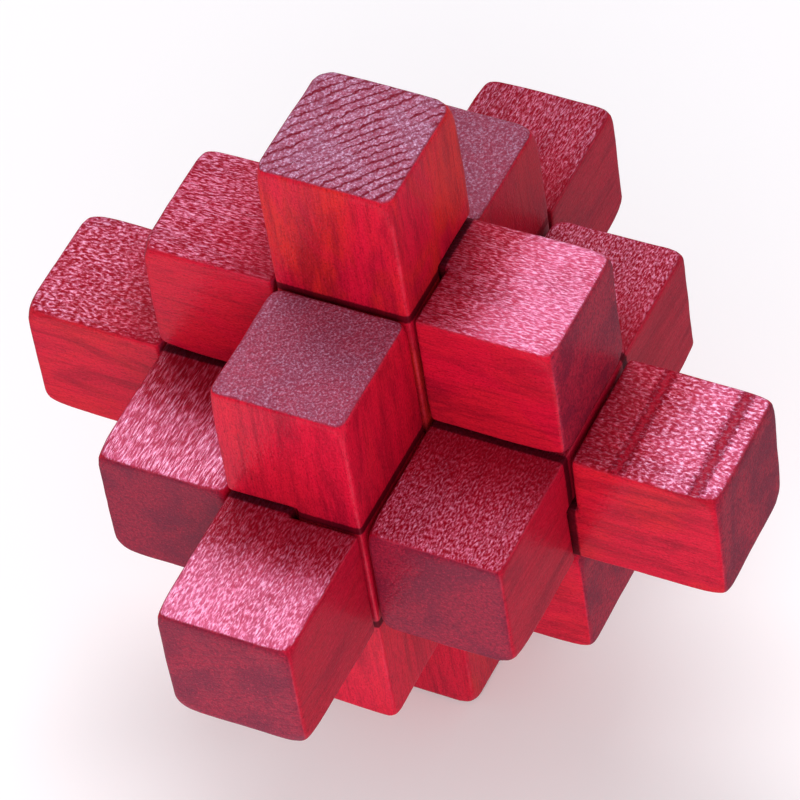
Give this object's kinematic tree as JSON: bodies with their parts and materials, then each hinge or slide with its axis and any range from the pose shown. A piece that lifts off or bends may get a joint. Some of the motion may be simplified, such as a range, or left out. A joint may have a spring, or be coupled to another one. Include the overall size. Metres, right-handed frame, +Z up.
{
  "type": "burr puzzle",
  "caption": "Take-apart puzzle of interlocking square wooden sticks crossing in three directions, opened by sliding out one key stick.",
  "frame": {"origin": "centre of the lower end face of the upright long stick, where the puzzle stands", "axes": "+Z up along the upright long stick towards its top end; +X and +Y along the two level long sticks, the key stick on the +Y side of the centre; the puzzle's centre is on the Z axis at half height"},
  "size_m": [0.077, 0.077, 0.077],
  "materials": {
    "long_sticks": "red-dyed hardwood under gloss lacquer",
    "short_sticks": "red-dyed hardwood under gloss lacquer",
    "key": "red-dyed hardwood under gloss lacquer"
  },
  "bodies": {
    "locked_sticks": {"long_stick_x": "long_sticks", "long_stick_y": "long_sticks", "long_stick_z": "long_sticks", "short_stick_x_top": "short_sticks", "short_stick_x_bottom": "short_sticks", "short_stick_y_right": "short_sticks", "short_stick_y_left": "short_sticks", "short_stick_z_front": "short_sticks"},
    "key": {"key_stick": "key"}
  },
  "joints": [
    {"name": "key_slide", "type": "slide", "parent": "locked_sticks", "child": "key", "axis": [0, 0, 1], "range_m": [0, 0.045]}
  ]
}
